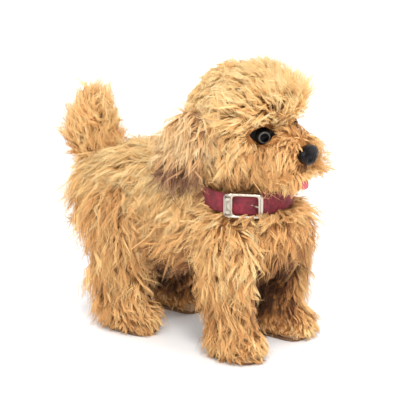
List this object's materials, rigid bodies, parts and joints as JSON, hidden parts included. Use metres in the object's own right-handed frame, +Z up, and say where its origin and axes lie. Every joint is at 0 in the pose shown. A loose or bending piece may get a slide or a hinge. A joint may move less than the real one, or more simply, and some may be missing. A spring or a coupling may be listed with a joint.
{
  "type": "interactive plush puppy",
  "caption": "Shaggy walking toy puppy with swinging legs, wagging tail, turning head, opening jaw and a buckled collar over a geared plastic body.",
  "frame": {"origin": "on the floor, under the middle of the whole puppy (middle of its bounding box, at its bottom)", "axes": "the puppy faces -Y, its left side is +X, +Z is up"},
  "size_m": [0.0926, 0.2, 0.195],
  "materials": {
    "fur_coat": "long curled pile, matte",
    "ear_fur": "long pile, darker tips",
    "black_felt": "matte felt",
    "eye_black": "high gloss",
    "nose_black": "soft gloss",
    "tongue_pink": "matte velour",
    "ivory_plastic": "satin moulded",
    "grey_plastic": "satin moulded",
    "black_plastic": "satin moulded",
    "sole_rubber": "matte",
    "strap_crimson": "matte, fine grain",
    "buckle_metal": "bright plated",
    "steel": "zinc plated",
    "cell_jacket": "gloss film",
    "board_green": "solder mask",
    "gear_white": "natural acetal"
  },
  "bodies": {
    "body": {"body_plush": "fur_coat", "torso_shell_left": "ivory_plastic", "torso_shell_right": "ivory_plastic", "shell_screw_lower": "steel", "shell_screw_upper": "steel", "battery_box": "grey_plastic", "battery_cell_lower": "cell_jacket", "battery_cell_upper": "cell_jacket", "contact_spring_lower": "steel", "contact_spring_upper": "steel", "speaker": "grey_plastic", "circuit_board": "board_green", "microphone": "steel", "touch_switch": "black_plastic", "motor": "steel", "gearbox_plate_left": "grey_plastic", "gearbox_plate_right": "grey_plastic", "neck_bearing": "ivory_plastic", "tail_axle": "steel", "collar_strap": "strap_crimson", "collar_buckle": "buckle_metal", "collar_keeper": "strap_crimson"},
    "head": {"head_plush": "fur_coat", "head_shell_left": "ivory_plastic", "head_shell_right": "ivory_plastic", "eye_left": "eye_black", "eye_right": "eye_black", "eyelid_left": "black_felt", "eyelid_right": "black_felt", "ear_left": "ear_fur", "ear_right": "ear_fur", "nose": "nose_black", "neck_post": "ivory_plastic"},
    "jaw": {"jaw_bar": "ivory_plastic", "tongue": "tongue_pink", "chin_plush": "fur_coat"},
    "tail": {"tail_core": "ivory_plastic", "tail_plush": "fur_coat"},
    "crank": {"crank_gear": "gear_white"},
    "second_wheel": {"second_gear": "gear_white"},
    "first_wheel": {"first_gear": "gear_white"},
    "motor_shaft": {"motor_pinion": "steel"},
    "door": {"battery_door": "grey_plastic", "door_screw": "steel"},
    "switch": {"power_switch": "black_plastic"},
    "touch_pad": {"touch_button": "ivory_plastic"},
    "prong": {"collar_prong": "buckle_metal"},
    "leg_front_left": {"leg_plush_front_left": "fur_coat", "leg_core_front_left": "ivory_plastic", "paw_sole_front_left": "sole_rubber"},
    "leg_front_right": {"leg_plush_front_right": "fur_coat", "leg_core_front_right": "ivory_plastic", "paw_sole_front_right": "sole_rubber"},
    "leg_rear_left": {"leg_plush_rear_left": "fur_coat", "leg_core_rear_left": "ivory_plastic", "paw_sole_rear_left": "sole_rubber"},
    "leg_rear_right": {"leg_plush_rear_right": "fur_coat", "leg_core_rear_right": "ivory_plastic", "paw_sole_rear_right": "sole_rubber"}
  },
  "joints": [
    {"name": "head_turn", "type": "hinge", "parent": "body", "child": "head", "pos_m": [0, -0.048, 0.1124], "axis": [0, 0, 1], "range_deg": [-20, 20]},
    {"name": "jaw_open", "type": "hinge", "parent": "head", "child": "jaw", "pos_m": [0, -0.0655, 0.1272], "axis": [1, 0, 0], "range_deg": [0, 12], "stiffness_Nm_per_rad": 0.01, "springref_deg": -14.32},
    {"name": "tail_wag", "type": "hinge", "parent": "body", "child": "tail", "pos_m": [0, 0.0553, 0.104], "axis": [0, 1, 0], "range_deg": [-25, 25]},
    {"name": "rear_left_swing", "type": "hinge", "parent": "body", "child": "leg_rear_left", "pos_m": [0.027, 0.034, 0.082], "axis": [1, 0, 0], "range_deg": [-10, 10]},
    {"name": "rear_right_swing", "type": "hinge", "parent": "body", "child": "leg_rear_right", "pos_m": [-0.027, 0.034, 0.082], "axis": [1, 0, 0], "range_deg": [-10, 10]},
    {"name": "front_left_swing", "type": "hinge", "parent": "body", "child": "leg_front_left", "pos_m": [0.027, -0.054, 0.077], "axis": [1, 0, 0], "range_deg": [-10, 10]},
    {"name": "front_right_swing", "type": "hinge", "parent": "body", "child": "leg_front_right", "pos_m": [-0.027, -0.054, 0.077], "axis": [1, 0, 0], "range_deg": [-10, 10]},
    {"name": "crank_spin", "type": "hinge", "parent": "body", "child": "crank", "pos_m": [0.001, 0.012, 0.095], "axis": [1, 0, 0], "continuous": true},
    {"name": "second_spin", "type": "hinge", "parent": "body", "child": "second_wheel", "pos_m": [0.001, 0.02578, 0.09645], "axis": [1, 0, 0], "continuous": true},
    {"name": "first_spin", "type": "hinge", "parent": "body", "child": "first_wheel", "pos_m": [0.005, 0.03957, 0.095], "axis": [1, 0, 0], "continuous": true},
    {"name": "motor_spin", "type": "hinge", "parent": "body", "child": "motor_shaft", "pos_m": [0.009, 0.04221, 0.08139], "axis": [1, 0, 0], "continuous": true},
    {"name": "door_lift", "type": "slide", "parent": "body", "child": "door", "axis": [0, 0, -1], "range_m": [0, 0.012]},
    {"name": "power_slide", "type": "slide", "parent": "body", "child": "switch", "axis": [0, 1, 0], "range_m": [-0.0018, 0.0018]},
    {"name": "touch_press", "type": "slide", "parent": "body", "child": "touch_pad", "axis": [0, 0, -1], "range_m": [0, 0.0012], "stiffness_N_per_m": 200, "springref_m": -0.0008},
    {"name": "prong_lift", "type": "hinge", "parent": "body", "child": "prong", "pos_m": [-0.03088, -0.05965, 0.106], "axis": [0, 0, -1], "range_deg": [0, 70]}
  ],
  "couplings": [
    {"joint": "second_spin", "follows": "crank_spin", "ratio": -3.6},
    {"joint": "first_spin", "follows": "crank_spin", "ratio": 12.96},
    {"joint": "motor_spin", "follows": "crank_spin", "ratio": -46.656},
    {"joint": "front_right_swing", "follows": "rear_left_swing", "ratio": 1},
    {"joint": "rear_right_swing", "follows": "rear_left_swing", "ratio": -1},
    {"joint": "front_left_swing", "follows": "rear_left_swing", "ratio": -1}
  ]
}
